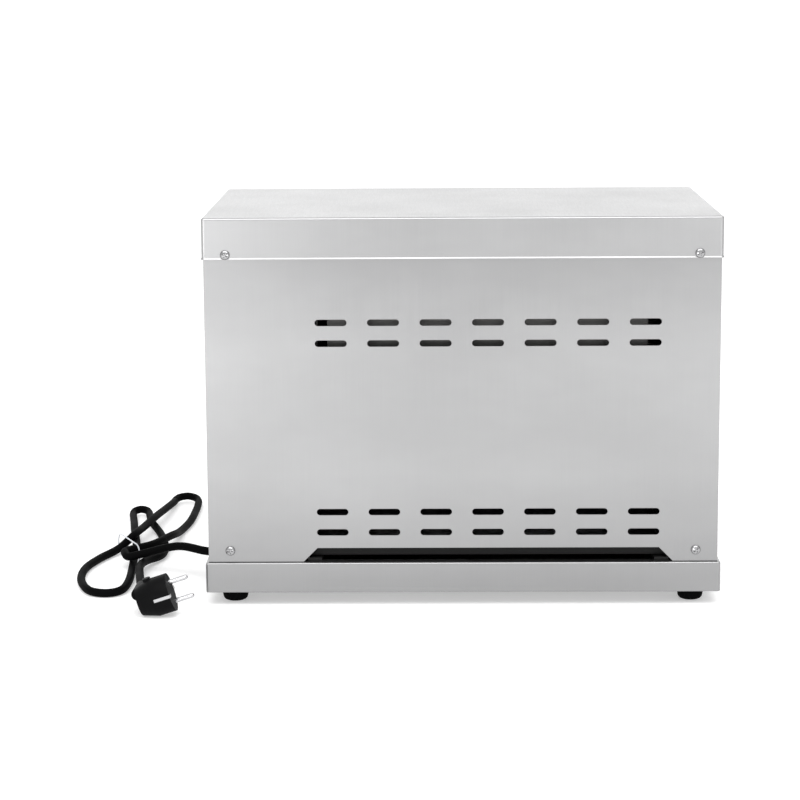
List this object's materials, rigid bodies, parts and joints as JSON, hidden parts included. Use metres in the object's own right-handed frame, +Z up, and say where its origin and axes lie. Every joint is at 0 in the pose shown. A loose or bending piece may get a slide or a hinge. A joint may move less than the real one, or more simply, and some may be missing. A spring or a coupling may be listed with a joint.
{
  "type": "rotisserie oven",
  "caption": "Stainless rotisserie oven with a glass drop door, motor-driven spit, tubular heaters, drip tray, vented rear and a mains lead.",
  "frame": {"origin": "middle of the oven's footprint on the surface that it stands on, without the mains lead", "axes": "+X right seen from the front, -Y front with the door, +Z up"},
  "size_m": [0.6388, 0.5252, 0.377],
  "materials": {
    "stainless": "fine vertical brushing, satin",
    "door_metal": "brushed satin",
    "liner_steel": "dull sheet",
    "rubber": "matte black",
    "chrome": "bright plating",
    "screw_steel": "bright zinc",
    "heater_sheath": "oxidised sheath",
    "ceramic": "unglazed ceramic",
    "zinc_yellow": "yellow passivated zinc",
    "machined_steel": "turned",
    "glass": "clear tempered",
    "black_plastic": "fine moulded texture",
    "control_grey": "satin paint",
    "control_metal": "zinc plated",
    "lamp_red": "clear lens",
    "wire_red": "silicone sleeve",
    "black_enamel": "glossy vitreous enamel",
    "tie_white": "plastic-coated wire"
  },
  "bodies": {
    "cabinet": {"base_pan": "stainless", "foot_front_left": "rubber", "foot_front_right": "rubber", "foot_rear_left": "rubber", "foot_rear_right": "rubber", "foot_screws": "screw_steel", "side_panel_left": "stainless", "side_panel_right": "stainless", "back_panel": "stainless", "top_cover": "stainless", "front_frame": "stainless", "control_plate": "control_grey", "liner_left": "liner_steel", "liner_right": "liner_steel", "liner_top": "liner_steel", "liner_back": "liner_steel", "drain_plate": "liner_steel", "heat_shield": "liner_steel", "heater_upper_front": "heater_sheath", "heater_upper_rear": "heater_sheath", "heater_lower_front": "heater_sheath", "heater_lower_rear": "heater_sheath", "heater_insulators": "ceramic", "gear_motor": "zinc_yellow", "motor_bracket": "liner_steel", "spit_support": "liner_steel", "hinge_left": "door_metal", "hinge_right": "door_metal", "thermostat": "control_metal", "thermostat_bulb": "zinc_yellow", "timer": "control_metal", "mode_switch": "ceramic", "pilot_lamps": "lamp_red", "terminal_block": "ceramic", "wiring_harness": "wire_red", "cover_screws": "screw_steel", "back_screws": "screw_steel", "tray_rails": "black_enamel", "wire_rack": "chrome", "rack_supports": "chrome", "cord_gland": "black_plastic", "power_cord": "rubber", "cord_tie": "tie_white", "plug_body": "black_plastic", "plug_pins": "chrome"},
    "door": {"door_frame": "door_metal", "door_glass": "glass", "door_handle": "black_plastic", "handle_posts": "door_metal"},
    "spit": {"drive_coupler": "machined_steel", "spit_rod": "chrome"},
    "left_fork": {"fork_left": "chrome"},
    "right_fork": {"fork_right": "chrome"},
    "left_thumbscrew": {"thumbscrew_left": "chrome"},
    "right_thumbscrew": {"thumbscrew_right": "chrome"},
    "thermostat_dial": {"thermostat_knob": "black_plastic"},
    "timer_dial": {"timer_knob": "black_plastic"},
    "mode_dial": {"mode_knob": "black_plastic"},
    "tray": {"drip_tray": "black_enamel", "tray_handle": "black_plastic"}
  },
  "joints": [
    {"name": "door_hinge", "type": "hinge", "parent": "cabinet", "child": "door", "pos_m": [-0.0245, -0.13915, 0.106], "axis": [1, 0, 0], "range_deg": [0, 90]},
    {"name": "spit_turn", "type": "hinge", "parent": "cabinet", "child": "spit", "pos_m": [-0.0245, 0.011, 0.212], "axis": [1, 0, 0], "continuous": true},
    {"name": "left_fork_slide", "type": "slide", "parent": "spit", "child": "left_fork", "axis": [1, 0, 0], "range_m": [0, 0.05]},
    {"name": "right_fork_slide", "type": "slide", "parent": "spit", "child": "right_fork", "axis": [-1, 0, 0], "range_m": [0, 0.05]},
    {"name": "left_thumbscrew_turn", "type": "hinge", "parent": "left_fork", "child": "left_thumbscrew", "pos_m": [-0.12, 0.011, 0.212], "axis": [0, 1, 0], "range_deg": [0, 180]},
    {"name": "right_thumbscrew_turn", "type": "hinge", "parent": "right_fork", "child": "right_thumbscrew", "pos_m": [0.07, 0.011, 0.212], "axis": [0, 0, -1], "range_deg": [0, 180]},
    {"name": "thermostat_turn", "type": "hinge", "parent": "cabinet", "child": "thermostat_dial", "pos_m": [0.198, -0.145, 0.282], "axis": [0, 1, 0], "range_deg": [0, 270]},
    {"name": "timer_turn", "type": "hinge", "parent": "cabinet", "child": "timer_dial", "pos_m": [0.198, -0.145, 0.216], "axis": [0, 1, 0], "range_deg": [0, 300]},
    {"name": "mode_turn", "type": "hinge", "parent": "cabinet", "child": "mode_dial", "pos_m": [0.198, -0.145, 0.15], "axis": [0, 1, 0], "range_deg": [0, 180]},
    {"name": "tray_slide", "type": "slide", "parent": "cabinet", "child": "tray", "axis": [0, -1, 0], "range_m": [0, 0.15]}
  ]
}
